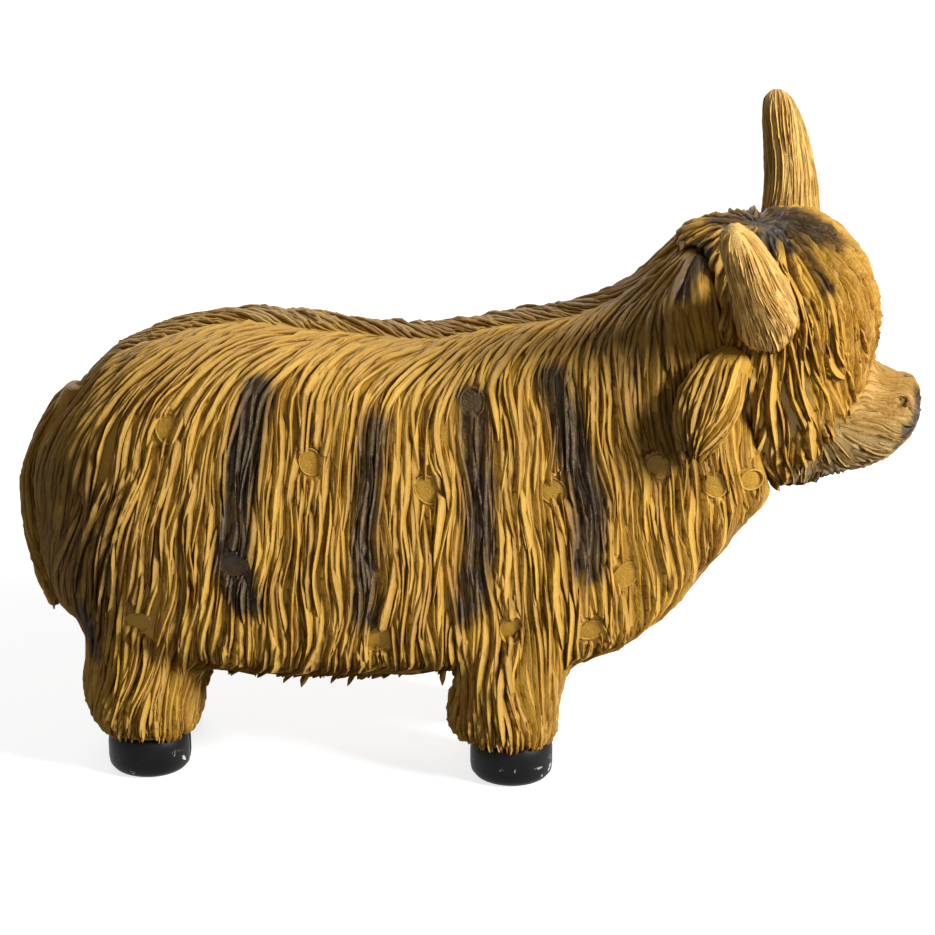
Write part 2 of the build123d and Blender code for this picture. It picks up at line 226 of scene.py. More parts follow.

# %% [markdown]
# Marks. Each airbrushed mark was one pass of the brush, so it is kept as a line with a half width
# and a strength, and how dark a point is follows from how far it lies from the line. The wide,
# weak marks on the rump and the neck are painted shade, kept as marks in the same way. The picture
# shows one side alone, so the marks on the flank are repeated on the other, four of those on the
# head are repeated across it, and short lines join the nose's two sides in front.

# %% Marks of dark paint
mark_pixels = {
    "first": [(258, 392), (245, 450), (236, 510), (232, 568), (246, 604)],
    "second": [(376, 424), (368, 480), (364, 540), (365, 618)],
    "third": [(472, 398), (479, 470), (480, 550), (466, 612)],
    "fourth": [(554, 380), (572, 440), (590, 500), (587, 568)],
    "thigh": [(82, 606), (90, 628), (97, 650)],
    "behind_horn": [(704, 250), (694, 270), (682, 292)],
    "nape": [(664, 238), (690, 220), (716, 212), (744, 208)],
    "crown": [(736, 208), (770, 213), (800, 222), (826, 236)],
    "brow": [(822, 230), (836, 238), (850, 250)],
    "parting": [(778, 216), (784, 234), (792, 250)],
    "curl": [(800, 232), (806, 256), (826, 290)],
    "nose": [(916, 398), (914, 414), (907, 431), (897, 446)],
    "nostril": [(905, 399), (901, 405)],
    "crown_side": [(716, 224), (752, 220), (790, 226), (812, 240)],
    # The rump and neck marks are painted shade, not paint that the cow itself carries.
    "rump": [(50, 430), (60, 500), (72, 580)],
    "neck": [(632, 330), (650, 390), (664, 450)],
}
mark_half_widths = {  # mm
    "first": 6.6, "second": 5.8, "third": 6.2, "fourth": 6.8, "thigh": 4.4, "behind_horn": 4.6,
    "nape": 5.2, "crown": 7.4, "brow": 2.6, "parting": 3.0, "curl": 3.2, "nose": 2.0,
    "nostril": 1.4, "crown_side": 4.4, "rump": 26.0, "neck": 18.0,
}
mark_strengths = {"second": 0.88, "third": 0.92, "nape": 0.95, "rump": 0.55, "neck": 0.5}
on_both_flanks = ("first", "second", "third", "fourth", "thigh", "rump", "neck")
on_both_cheeks = ("nose", "nostril", "crown", "behind_horn")
nose_reach = 30 * mm
nose_front_share = 1.8
marks = []
for name, pixels in mark_pixels.items():
    line = [hit[0] for hit in map(on_coat, pixels) if hit]
    size = mark_half_widths[name] * mm
    strength = mark_strengths.get(name, 1.0)
    marks.append((line, size, strength))
    if name in on_both_flanks:
        marks.append(([across_body(point, middle_plane) for point in line], size, strength))
    if name in on_both_cheeks:
        marks.append(([across_head(point) for point in line], size, strength))
    if name == "nose":
        ahead = from_head @ Vector((nose_reach, 0, 0))
        for point in line[:-1]:
            far_point = across_head(point)
            tip, _, _, _ = head_skin.find_nearest((point + far_point) / 2 + ahead)
            marks.append(([point, tip, far_point], nose_front_share * size, strength))
print("marks", len(marks))

# %% Seats
seat_pixels = [
    (167, 428), (310, 462), (428, 490), (472, 402), (553, 491), (234, 566), (138, 623),
    (379, 638), (512, 631), (592, 630), (626, 575), (659, 467), (715, 485), (752, 480),
]
neck_inset = 20 * mm
neck_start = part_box("torso")[1].x - neck_inset
seats = []
for point, facing in map(on_coat, seat_pixels):
    seats.append((point, facing))
    if point.x < neck_start:
        seats.append((across_body(point, middle_plane), across_body(facing)))
seat_reach = 4.1 * mm
seat_depth = 2.4 * mm
nostril_reach = 2.1 * mm
nostril_depth = 2.4 * mm
presses = [(*seat, seat_reach, seat_depth) for seat in seats]
far_facing = from_head @ across_body(from_head.inverted() @ nostril_facing)
for place, facing in zip(nostrils, (nostril_facing, far_facing)):
    presses.append((place, facing, nostril_reach, nostril_depth))
print("seats", len(seats))

# %% [markdown]
# One lock of hair. On the carving each lock is a ridge that swells from its root and runs out to
# a point. It could be a curve with a bevel, but thousands of curves are slow. One small closed
# cone, cut into rings, is copied for every lock instead, and all the copies are then moved at
# once on to their lines. A ring has a crest, two shoulders, two edges and a keel that is sunk.

# %% Template of a lock
ring_shares = np.array([0.0, 0.05, 0.12, 0.21, 0.31, 0.42, 0.53, 0.64, 0.75, 0.86, 0.95, 1.0])
width_shares = np.array([0.1, 0.42, 0.7, 0.9, 1.0, 1.0, 0.98, 0.92, 0.82, 0.64, 0.4, 0.08])
height_shares = np.array([0.1, 0.4, 0.7, 0.9, 1.0, 1.0, 1.0, 0.98, 0.92, 0.78, 0.55, 0.1])
corner_across_shares = np.array([1.0, 0.56, 0.0, -0.56, -1.0, 0.0])
corner_rise_shares = np.array([-0.15, 0.7, 1.0, 0.7, -0.15, -1.0])
ring_count = len(ring_shares)
corner_count = len(corner_across_shares)
crest_corner = 2
keel_corner = 5


def lock_template():
    """A closed cone with its rings, and which ring and corner each of its points is."""
    bm = bmesh.new()
    bmesh.ops.create_cone(
        bm, cap_ends=True, cap_tris=False, segments=corner_count, radius1=1, radius2=1, depth=1
    )
    upright = [edge for edge in bm.edges if abs(edge.verts[0].co.z - edge.verts[1].co.z) > 0.5]
    bmesh.ops.subdivide_edges(bm, edges=upright, cuts=ring_count - 2)
    bmesh.ops.recalc_face_normals(bm, faces=bm.faces)
    rings = [round((vert.co.z + 0.5) * (ring_count - 1)) for vert in bm.verts]
    turns = [math.atan2(vert.co.y, vert.co.x) / math.tau * corner_count for vert in bm.verts]
    template = bpy.data.meshes.new("lock")
    bm.to_mesh(template)
    bm.free()
    return template, np.array(rings), np.array([round(turn) % corner_count for turn in turns])


template, template_rings, template_corners = lock_template()
print("a lock has", len(template.polygons), "faces")

# %% [markdown]
# Combing. A lock starts at a root, takes small steps along the way that the hair flows there,
# and is dropped back on to the form after each step. Neighbours share one slow swerve, so they
# bend side by side, and each has a little of its own, so that some run together. Where the hair
# ends, as under the belly, a lock is cut to a length that lets just its point hang free.

# %% Follow the flow from a root
down = Vector((0, 0, -1))
root_overlap = 2.6 * mm
free_lengths = (1.5 * mm, 4.5 * mm)
droop_share = 0.3  # of the way down that the free point turns at each step
steady_share = 0.4  # of the last heading that a step keeps
even_share = 0.3  # of the last facing that a step keeps
sway_turn = 5  # radians of a lock's own sway from root to point
broad_swerve = 0.11  # radians
broad_wave = 5.6  # mm of height for a radian
drift = 2.2  # radians by which the broad wave shifts along the body
drift_wave = 13  # mm of length for a radian
slant_swerve = 0.07
slant_wave = 9


def shared_swerve(point):
    """How far hair at a place turns aside, in radians, the same for all its neighbours."""
    x = point.x / mm
    z = point.z / mm
    broad = broad_swerve * math.sin(z / broad_wave + drift * math.sin(x / drift_wave))
    return broad + slant_swerve * math.sin((z - x) / slant_wave)


def along_skin(way, facing):
    return (way - facing * way.dot(facing)).normalized()


def grow(skin, flow, root, root_facing, length, sway, leaves):
    """The line of one lock and the facings along it."""
    turn = dice.normal(0, sway / 2)
    phase = dice.uniform(0, math.tau)
    free_length = dice.uniform(*free_lengths)
    edge = math.inf
    while True:
        heading = along_skin(flow(root, root_facing), root_facing)
        point, facing, _, _ = skin.find_nearest(root - heading * root_overlap)
        points = [point]
        facings = [facing]
        reach = 0
        for before, after in zip(ring_shares, ring_shares[1:]):
            step = (after - before) * length
            reach += step
            if reach > edge:
                heading = (heading + down * droop_share).normalized()
                point = point + heading * step
            else:
                way = along_skin(flow(point, facing), facing)
                own = turn + sway * math.sin(phase + sway_turn * after)
                swerve = own + shared_swerve(point)
                way = way * math.cos(swerve) + facing.cross(way) * math.sin(swerve)
                heading = (heading * steady_share + way * (1 - steady_share)).normalized()
                point, out, _, _ = skin.find_nearest(point + heading * step)
                facing = (facing * even_share + out * (1 - even_share)).normalized()
                if edge == math.inf and leaves and leaves(point, out):
                    edge = max(reach - step, root_overlap)
                    length = edge + free_length
                    break
            points.append(point)
            facings.append(facing)
        if len(points) == ring_count:
            return points, facings


# %% Spread the roots and comb
least_length = 4 * mm
hem_play = (-2, 1)  # mm by which a lock may miss its hem


def crowded(root, way, cell, taken, across, along):
    """Whether another root is near: nearer beside the strand counts for as much as further along."""
    for key in itertools.product(*[(v - 1, v, v + 1) for v in cell]):
        for other in taken.get(key, ()):
            gap = other - root
            ahead = gap.dot(way)
            beside = (gap - way * ahead).length
            if (ahead / along) ** 2 + (beside / across) ** 2 < 1:
                return True
    return False


def comb(form, flow, across, along, lengths, sway, keep=None, leaves=None, hem=None):
    """Locks all over a form, as lines and facings, none rooted too near another."""
    skin = feel(form)
    taken = {}
    lines = []
    ups = []
    for index in dice.permutation(len(form.polygons)):
        root = form.polygons[index].center
        facing = form.polygons[index].normal
        if keep and not keep(root, facing):
            continue
        way = along_skin(flow(root, facing), facing)
        cell = tuple(int(v // along) for v in root)
        if crowded(root, way, cell, taken, across, along):
            continue
        taken.setdefault(cell, []).append(root)
        length = dice.uniform(*lengths)
        if hem is not None:
            to_hem = root.z - hem - dice.uniform(*hem_play) * mm
            length = min(length, max(to_hem, least_length))
        points, facings = grow(skin, flow, root, facing, length, sway, leaves)
        lines.append(points)
        ups.append(facings)
    return np.array(lines), np.array(ups)


# %% [markdown]
# Laying the locks. The copies of the template are joined in one mesh, and their points are set
# in one go from the lines: across by the lock's width, up by its height and its lift. Two
# attributes go with them for the paint: where along the strand a point is, and how deep in a
# groove, how dark, and how warm the paint is there.

# %% Paint masks at points
mark_core_share = 0.3
mark_edge_share = 1.55


def soft_step(values, low, high):
    share = np.clip((values - low) / (high - low), 0, 1)
    return share * share * (3 - 2 * share)


def darkness(points):
    """How dark each point is, from 0 to 1: airbrushed marks, and painted shade on rump and neck."""
    dark = np.zeros(len(points))
    for line, size, strength in marks:
        nearest = np.full(len(points), math.inf)
        for start, end in zip(line, line[1:]):
            a = np.array(start)
            b = np.array(end)
            share = np.clip((points - a) @ (b - a) / ((b - a) @ (b - a)), 0, 1)
            gap = np.linalg.norm(points - a - share[:, None] * (b - a), axis=1)
            nearest = np.minimum(nearest, gap)
        edge = soft_step(nearest / size, mark_core_share, mark_edge_share)
        dark = np.maximum(dark, strength * (1 - edge))
    return dark


face_middle = Vector((30, 0, 5)) * mm
face_reach = 34 * mm
warm_core_share = 0.55
warm_edge_share = 1.1


def paint_masks(points, groove):
    """Groove, dark and warm for each point, as one array of three columns."""
    in_head = points @ np.array(to_head.to_3x3()).T + np.array(to_head.translation)
    to_face = np.linalg.norm(in_head - np.array(face_middle), axis=1) / face_reach
    warm = 1 - soft_step(to_face, warm_core_share, warm_edge_share)
    return np.stack([np.broadcast_to(groove, len(points)), darkness(points), warm], axis=1)


# %% A finished mesh as a piece of the object
def add_masks(mesh, groove, strand=None):
    """Both paint attributes. Without a strand, a point's own place stands in for it."""
    flat = np.zeros(len(mesh.vertices) * 3, np.float32)
    mesh.vertices.foreach_get("co", flat)
    flat = flat.reshape(-1, 3).astype(float)
    strand = flat if strand is None else strand
    for name, values in (("strand", strand), ("paint", paint_masks(flat, groove))):
        attribute = mesh.attributes.new(name, "FLOAT_VECTOR", "POINT")
        attribute.data.foreach_set("vector", values.astype(np.float32).ravel())


def show(mesh, name, stands_for=None):
    mesh.name = name
    mesh.polygons.foreach_set("use_smooth", [True] * len(mesh.polygons))
    piece = bpy.data.objects.new(name, mesh)
    scene.collection.objects.link(piece)
    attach(piece, "root")
    if stands_for:
        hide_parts(stands_for)
    print(name, len(mesh.polygons), "faces")
    return piece


# %% Lay locks as one piece
press_span = 3  # how many reaches above and below a press still counts
tiny = 1e-12
full_width_length = 14 * mm
full_height_length = 10 * mm
least_width_share = 0.45
least_height_share = 0.5
skew_share = 0.4
ragged_share = 0.13
uneven_share = 0.14
stagger_share = 0.12


def press_in(flat):
    """Points of the coat over each seat and nostril, pushed down to its floor."""
    for place, facing, reach, depth in presses:
        gap = flat - np.array(place)
        up = gap @ np.array(facing)
        out = np.linalg.norm(gap - up[:, None] * np.array(facing), axis=1)
        pressed = (out < reach) & (np.abs(up) < press_span * reach) & (up > -depth)
        flat[pressed] -= (up[pressed] + depth)[:, None] * np.array(facing)


def lay(name, lines, ups, half_widths, heights, lifts, slot="coat_resin", sink=1.4 * mm):
    """One piece of many locks. Widths and heights are ranges, and the lifts are at root and tip."""
    count = len(lines)
    bm = bmesh.new()
    for _ in range(count):
        bm.from_mesh(template)
    mesh = bpy.data.meshes.new(name)
    bm.to_mesh(mesh)
    bm.free()
    tangents = np.gradient(lines, axis=1)
    tangents /= np.linalg.norm(tangents, axis=2, keepdims=True) + tiny
    sides = np.cross(ups, tangents)
    sides /= np.linalg.norm(sides, axis=2, keepdims=True) + tiny
    reach = np.linalg.norm(np.diff(lines, axis=1), axis=2).sum(1)[:, None]
    wide = np.clip(reach / full_width_length, least_width_share, 1)
    width = dice.uniform(*half_widths, count)[:, None] * wide
    tall = np.clip(reach / full_height_length, least_height_share, 1)
    height = dice.uniform(*heights, count)[:, None] * tall
    skew = dice.uniform(-skew_share, skew_share, count)[:, None] * (template_corners == crest_corner)
    ragged = dice.normal(1, ragged_share, (count, ring_count))
    across = (corner_across_shares[template_corners] + skew) * width
    across = across * (width_shares * ragged)[:, template_rings]
    uneven = dice.normal(1, uneven_share, (count, ring_count))
    relief = (height_shares * uneven)[:, template_rings]
    rise = corner_rise_shares[template_corners] * height * relief
    rise = np.where(template_corners == keel_corner, -sink, rise)
    lift_root, lift_tip = lifts
    lift = lift_root + (lift_tip - lift_root) * ring_shares[template_rings]
    above = rise + lift + dice.normal(0, stagger_share, (count, 1)) * height
    points = lines[:, template_rings] + sides[:, template_rings] * across[..., None]
    points = points + ups[:, template_rings] * above[..., None]
    flat = points.reshape(-1, 3)
    press_in(flat)
    mesh.vertices.foreach_set("co", flat.astype(np.float32).ravel())
    crest = corner_rise_shares[template_corners] * height_shares[template_rings]
    groove = np.clip(1 - np.broadcast_to(crest, above.shape), 0, 1).ravel()
    seeds = dice.uniform(0, 1, (count, 1)) * np.ones(len(template_rings))
    strand = np.stack([across, ring_shares[template_rings] * reach, seeds], axis=2)
    add_masks(mesh, groove, strand.reshape(-1, 3))
    mesh.update()
    print(count, "locks")
    return show(mesh, name)


# %% [markdown]
# The body's coat. From the parting along the spine the strands sweep back, turn over the flank
# and hang straight down. Towards the rump they lean back, and over the shoulder they lean
# forward. Under the belly they run back and their points come free, and over the hooves they
# are cut to a ragged hem.

# %% Flow over the body
lean_places = [-145, -100, -60, -10, 20, 50, 100]  # mm along the body
leans = [-0.42, -0.2, -0.07, 0.0, 0.07, 0.15, 0.2]
sweep_places = [-130, -80, -40, 60]  # mm along the body
sweep_starts = [0.15, 0.35, 0.6, 0.66]
sweeps = [1.7, 1.4, 1.0, 0.75]
parting_play = 1.2 * mm
parting_wave = 7  # mm of length for a radian
aside_share = 1.1
under_facings = (0.5, 0.9)
under_pull = 3


def body_flow(point, facing):
    """The way that hair runs at a point of the body."""
    x = point.x / mm
    parting = middle_plane + parting_play * math.sin(x / parting_wave)
    side = 1 if point.y > parting else -1
    top = float(soft_step(facing.z, np.interp(x, sweep_places, sweep_starts), 1.0))
    under = float(soft_step(-facing.z, *under_facings))
    back = np.interp(x, sweep_places, sweeps) * top - np.interp(x, lean_places, leans)
    return Vector((-back - under_pull * under, side * aside_share * top, -1))


belly_facing = -0.93
belly_foot = 32 * mm
hem_level = 12 * mm
root_clearance = 3 * mm


def leaves_belly(point, facing):
    return facing.z < belly_facing and point.z > belly_foot


def is_coat(point, facing):
    """Roots lie above the hooves and clear of the skull."""
    clear = point.z > hem_level + root_clearance
    return clear and not inside(head_skin, point + facing * mm, facing)


coat_comb = {"across": 1.75 * mm, "along": 13 * mm, "lengths": (26 * mm, 62 * mm), "sway": 0.08}
body_lines, body_ups = comb(
    body_form, body_flow, **coat_comb, keep=is_coat, leaves=leaves_belly, hem=hem_level
)
print("body locks", len(body_lines))

# %% The parting and the hems over the hooves
parting_reach = 6 * mm
parting_facing = 0.7
hem_foot = 5 * mm
hem_top = 11 * mm


def is_parting(point, facing):
    near = abs(point.y - middle_plane) < parting_reach and facing.z > parting_facing
    return near and not inside(head_skin, point + facing * mm, facing)


def is_hem(point, facing):
    return hem_foot < point.z - hem_level < hem_top


parting_comb = {"across": 1.7 * mm, "along": 3.2 * mm, "lengths": (16 * mm, 38 * mm), "sway": 0.08}
parting_lines, parting_ups = comb(body_form, body_flow, **parting_comb, keep=is_parting)
hem_comb = {"across": 2.2 * mm, "along": 4 * mm, "lengths": (14 * mm, 18 * mm), "sway": 0.12}
hem_lines, hem_ups = comb(body_form, body_flow, **hem_comb, keep=is_hem, hem=hem_level)
body_lines = np.concatenate([body_lines, parting_lines, hem_lines])
body_ups = np.concatenate([body_ups, parting_ups, hem_ups])
print("parting locks", len(parting_lines), "hem locks", len(hem_lines))

# %% Body coat pieces
coat_relief = {
    "half_widths": (1.3 * mm, 2.8 * mm),
    "heights": (1.2 * mm, 2.1 * mm),
    "lifts": (-0.7 * mm, -0.5 * mm),
}
rump_end = -70 * mm
shoulder_start = 15 * mm
between_legs = -40 * mm
leg_top = 42 * mm
roots = body_lines[:, 0]
left = roots[:, 1] > middle_plane
front = roots[:, 0] > between_legs
low = roots[:, 2] < leg_top
behind = roots[:, 0] < rump_end
ahead = roots[:, 0] >= shoulder_start
ends = {
    "rump": ~low & behind,
    "barrel": ~low & ~behind & ~ahead,
    "shoulder": ~low & ahead,
    "leg_front": low & front,
    "leg_rear": low & ~front,
}
coat = []
for end, chosen in ends.items():
    for side, on_side in (("left", left), ("right", ~left)):
        picked = chosen & on_side
        name = f"coat_{end}_{side}"
        coat.append(lay(name, body_lines[picked], body_ups[picked], **coat_relief))

# %% [markdown]
# The head. Hair radiates from the crown over the brow and fans down over each cheek, and short
# locks lie over the long ones on the crown and the brow. The muzzle is short-haired: its hair is
# only scored in with fine curved lines, which spread from the cheek towards the nose.

# %% Flow over the head
crown_setback = 6 * mm
crown_facings = (0.2, 0.95)
crown_share = 1.3
cheek_facings = (0.35, 0.9)
fan_full = 8 * mm
fan_gone = 34 * mm
fan_width = 30 * mm
fan_share = 0.6
muzzle_root_pixel = (806, 418)
muzzle_rise = 3 * mm


def head_flow(point, facing):
    spot = to_head @ point
    out = to_head.to_3x3() @ facing
    radial = Vector((spot.x + crown_setback, spot.y, 0)).normalized()
    top = float(soft_step(out.z, *crown_facings))
    cheek = float(soft_step(abs(out.y), *cheek_facings))
    cheek *= float(soft_step(-spot.z, -fan_gone, -fan_full))
    fan = spot.x / fan_width * fan_share * cheek
    ahead = radial.x * crown_share * top + fan
    return from_head @ Vector((ahead, radial.y * crown_share * top, -1))


muzzle_root = to_head @ on_coat(muzzle_root_pixel)[0]


def muzzle_flow(point, facing):
    spot = to_head @ point
    return from_head @ Vector((spot.x - muzzle_root.x, 0, spot.z - muzzle_root.z + muzzle_rise))


# %% Where the muzzle is bare
muzzle_edge = 34 * mm
muzzle_top = -5 * mm
muzzle_slope = 0.8
muzzle_foot = -46 * mm
bridge_rise = 4 * mm


def on_muzzle(spot):
    """The bare muzzle lies ahead of an edge that runs back and down from the bridge of the nose."""
    if not muzzle_foot < spot.z < muzzle_top + bridge_rise:
        return False
    return spot.x > muzzle_edge - max(0, muzzle_top - spot.z) * muzzle_slope


def is_head_coat(point, facing):
    return not on_muzzle(to_head @ point) and not inside(body_skin, point + facing * mm, facing)


def is_muzzle(point, facing):
    """Where the short hair is rooted, and where the long locks come off the skin."""
    return on_muzzle(to_head @ point)


# %% The crown and the brow
crown_reach = 13 * mm
brow_start = 2 * mm
brow_foot = 6 * mm
brow_half_width = 26 * mm


def is_crown(point, facing):
    spot = to_head @ point
    near = math.hypot(spot.x + crown_setback, spot.y) < crown_reach and spot.z > 0
    return near and is_head_coat(point, facing)


def is_brow(point, facing):
    spot = to_head @ point
    in_front = spot.x > brow_start and spot.z > brow_foot and abs(spot.y) < brow_half_width
    return in_front and is_head_coat(point, facing)


# %% Comb the head
head_comb = {"across": 2.2 * mm, "along": 12 * mm, "lengths": (22 * mm, 46 * mm), "sway": 0.12}
crown_comb = {"across": 1.7 * mm, "along": 3.2 * mm, "lengths": (8 * mm, 20 * mm), "sway": 0.14}
brow_comb = {"across": 2.1 * mm, "along": 5 * mm, "lengths": (8 * mm, 19 * mm), "sway": 0.22}
muzzle_comb = {"across": 1.3 * mm, "along": 7 * mm, "lengths": (8 * mm, 20 * mm), "sway": 0.16}
head_lines, head_ups = comb(
    head_form, head_flow, **head_comb, keep=is_head_coat, leaves=is_muzzle
)
crown_lines, crown_ups = comb(
    head_form, head_flow, **crown_comb, keep=is_crown, leaves=is_muzzle
)
brow_lines, brow_ups = comb(head_form, head_flow, **brow_comb, keep=is_brow, leaves=is_muzzle)
head_lines = np.concatenate([head_lines, crown_lines])
head_ups = np.concatenate([head_ups, crown_ups])
muzzle_lines, muzzle_ups = comb(head_form, muzzle_flow, **muzzle_comb, keep=is_muzzle)
print("head locks", len(head_lines), "brow", len(brow_lines), "muzzle", len(muzzle_lines))

# %% Head coat pieces
forelock_start = -4 * mm
forelock_foot = 12 * mm
head_relief = {
    "half_widths": (1.4 * mm, 3.0 * mm),
    "heights": (1.4 * mm, 2.5 * mm),
    "lifts": (-0.8 * mm, -0.4 * mm),
}
forelock_relief = {
    "half_widths": (1.2 * mm, 2.5 * mm),
    "heights": (1.4 * mm, 2.5 * mm),
    "lifts": (-0.8 * mm, -0.2 * mm),
}
scoring_relief = {
    "half_widths": (0.7 * mm, 1.6 * mm),
    "heights": (0.6 * mm, 1.3 * mm),
    "lifts": (-0.35 * mm, -0.2 * mm),
    "sink": 0.7 * mm,
}
head_roots = np.array([to_head @ Vector(root) for root in head_lines[:, 0]])
in_front = (head_roots[:, 0] > forelock_start) & (head_roots[:, 2] > forelock_foot)
in_forelock = in_front & (abs(head_roots[:, 1]) < brow_half_width)
coat_head = lay("coat_head", head_lines[~in_forelock], head_ups[~in_forelock], **head_relief)
forelock_lines = np.concatenate([head_lines[in_forelock], brow_lines])
forelock_ups = np.concatenate([head_ups[in_forelock], brow_ups])
forelock = lay("forelock_locks", forelock_lines, forelock_ups, **forelock_relief)
head_coat = [coat_head, forelock]
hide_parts("forelock")
muzzle_coat = lay("muzzle_scoring", muzzle_lines, muzzle_ups, **scoring_relief)

# %% [markdown]
# The castings under the hair. They show as slivers between the locks, and on the muzzle, so
# their flat planes are stood in for by smooth forms. The nostrils are pushed into the head's.

# %% Smooth castings
bare_groove = 0.45
covered_groove = 1.0


def cast_piece(name, form, node, groove=covered_groove):
    """A form shown as a piece of its own, in place of a casting."""
    add_masks(form, groove)
    return show(form, name, node)


for vert in head_form.vertices:
    for place in nostrils:
        share = (vert.co - place).length / nostril_reach
        if share < 1:
            vert.co -= vert.normal * (1 - share * share) * nostril_depth
bare = [on_muzzle(to_head @ vert.co) for vert in head_form.vertices]
head_groove = np.where(bare, bare_groove, covered_groove)
head_cast = cast_piece("head_cast", head_form, "head", groove=head_groove)
form = smooth_form(["torso"], voxel=2.6 * mm, rounds=12, cuts=0, swell=0.1 * mm)
casts = [cast_piece("torso_cast", form, "torso")]
for name in leg_names:
    form = smooth_form([name], voxel=2.2 * mm, rounds=8, cuts=0, swell=-0.5 * mm)
    for vert in form.vertices:
        vert.co.z = max(vert.co.z, hem_level + root_clearance)
    casts.append(cast_piece(f"{name}_cast", form, name))

# %% [markdown]
# Horns. Each is a smooth cone with a blunt tip, scored lengthwise with fine flutes. The flutes
# are laid like hair, only finer and lower, and they run from the tip to the root.

# %% Horns
horn_root = Vector((0, 20, 16)) * mm
flute_comb = {"across": 0.7 * mm, "along": 10 * mm, "lengths": (10 * mm, 28 * mm), "sway": 0.05}
flute_relief = {
    "half_widths": (0.3 * mm, 0.75 * mm),
    "heights": (0.3 * mm, 0.65 * mm),
    "lifts": (-0.15 * mm, -0.1 * mm),
    "slot": "horn_resin",
    "sink": 0.5 * mm,
}
horns = []
for side, sign in (("left", 1), ("right", -1)):
    form = smooth_form([f"horn_{side}"], voxel=1.3 * mm, rounds=8, cuts=1, swell=0.25 * mm)
    tip = max((vert.co for vert in form.vertices), key=lambda co: co.z).copy()
    root = head_place @ Vector((horn_root.x, sign * horn_root.y, horn_root.z))
    axis = (root - tip).normalized()
    lines, ups = comb(form, lambda point, facing: axis, **flute_comb)
    horns.append(cast_piece(f"horn_{side}_cast", form, f"horn_{side}", bare_groove))
    horns.append(lay(f"horn_{side}_flutes", lines, ups, **flute_relief))

# %% [markdown]
# Ears and tail. Both are tufts more than flesh: long locks that run from a root and close to a
# point. The castings' smooth forms stay inside as cores, and the locks follow them.

# %% Ears
ear_root = Vector((-9, 22, 10)) * mm
ear_beyond = 6  # mm past the tip, where all its locks point
ear_tip_reach = 4 * mm
ear_comb = {"across": 1.7 * mm, "along": 6 * mm, "lengths": (18 * mm, 38 * mm), "sway": 0.04}
ear_relief = {
    "half_widths": (1.2 * mm, 2.1 * mm),
    "heights": (1.2 * mm, 2.0 * mm),
    "lifts": (-0.8 * mm, -0.2 * mm),
}
tufts = []
for side, sign in (("left", 1), ("right", -1)):
    form = smooth_form([f"ear_{side}"], voxel=1.4 * mm, rounds=3, cuts=1, swell=0.2 * mm)
    root = head_place @ Vector((ear_root.x, sign * ear_root.y, ear_root.z))
    tip = min((vert.co for vert in form.vertices), key=lambda co: co.z).copy()
    beyond = tip + (tip - root).normalized() * ear_beyond * mm
    lines, ups = comb(
        form, lambda point, facing: beyond - point, **ear_comb,
        leaves=lambda point, facing: (point - tip).length < ear_tip_reach,
    )
    tufts.append(cast_piece(f"ear_{side}_core", form, f"ear_{side}"))
    tufts.append(lay(f"ear_{side}_locks", lines, ups, **ear_relief))

# %% Tail
tail_form = smooth_form(["tail"], voxel=1.6 * mm, rounds=3, cuts=1, swell=0.3 * mm)
tail_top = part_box("tail")[1].z
tuck_reach = 30 * mm
tuck_depth = 7 * mm
tail_spread = 4
tail_end_facing = -0.5
tail_comb = {"across": 1.8 * mm, "along": 7 * mm, "lengths": (25 * mm, 58 * mm), "sway": 0.07}
tail_relief = {**coat_relief, "lifts": (-0.9 * mm, 0.1 * mm)}
for vert in tail_form.vertices:
    vert.co.x += tuck_depth * float(soft_step(vert.co.z, tail_top - tuck_reach, tail_top))
tail_lines, tail_ups = comb(
    tail_form, lambda point, facing: Vector((0, (point.y - middle_plane) * tail_spread, -1)),
    **tail_comb, leaves=lambda point, facing: facing.z < tail_end_facing,
)
tufts.append(cast_piece("tail_core", tail_form, "tail"))
tufts.append(lay("tail_locks", tail_lines, tail_ups, **tail_relief))

# %% [markdown]
# Hooves and seats. A hoof is a short round block with its sole edge rolled under and a cleft at
# the front. A seat is a shallow oval pit. Its floor is spun from a profile and drawn out one way,
# and the locks over it were already pushed down when they were laid.

# %% Hooves
hoof_height = 15 * mm
hoof_turns = 56
hoof_profile_shares = [
    (0, 0), (0.78, 0), (0.9, 0.04), (0.98, 0.14), (1.0, 0.28), (1.0, 0.6), (0.97, 0.85),
    (0.8, 1.0), (0, 1.0),
]
cleft_width = 0.9 * mm
cleft_depth = 2.2 * mm
cleft_shares = (0.6, 0.95)  # of the radius, over which the cleft sets in
pole_gap = mm / 100


def spun(bm, profile, turns):
    """A closed shape spun from a profile of (out, up), its ends on the axis."""
    verts = [bm.verts.new((out, 0, up)) for out, up in profile]
    edges = [bm.edges.new(pair) for pair in zip(verts, verts[1:])]
    bmesh.ops.spin(
        bm, geom=verts + edges, cent=(0, 0, 0), axis=(0, 0, 1), angle=math.tau, steps=turns,
        use_merge=True,
    )


def closed_mesh(bm, name):
    bmesh.ops.remove_doubles(bm, verts=bm.verts, dist=pole_gap)
    bmesh.ops.recalc_face_normals(bm, faces=bm.faces)
    mesh = bpy.data.meshes.new(name)
    bm.to_mesh(mesh)
    bm.free()
    return mesh


def hoof(name):
    low_corner, high_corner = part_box(name)
    centre = (low_corner + high_corner) / 2
    radius = (high_corner.y - low_corner.y) / 2
    bm = bmesh.new()
    spun(bm, [(out * radius, up * hoof_height) for out, up in hoof_profile_shares], hoof_turns)
    for vert in bm.verts:
        ahead = vert.co.x / radius
        if ahead > cleft_shares[0]:
            cleft = math.exp(-(vert.co.y / cleft_width) ** 2) * soft_step(ahead, *cleft_shares)
            vert.co.x -= cleft * cleft_depth
        vert.co.x += centre.x
        vert.co.y += centre.y
    return show(closed_mesh(bm, name), f"{name}_cast", name)


hooves = [hoof(name) for name in hoof_names]

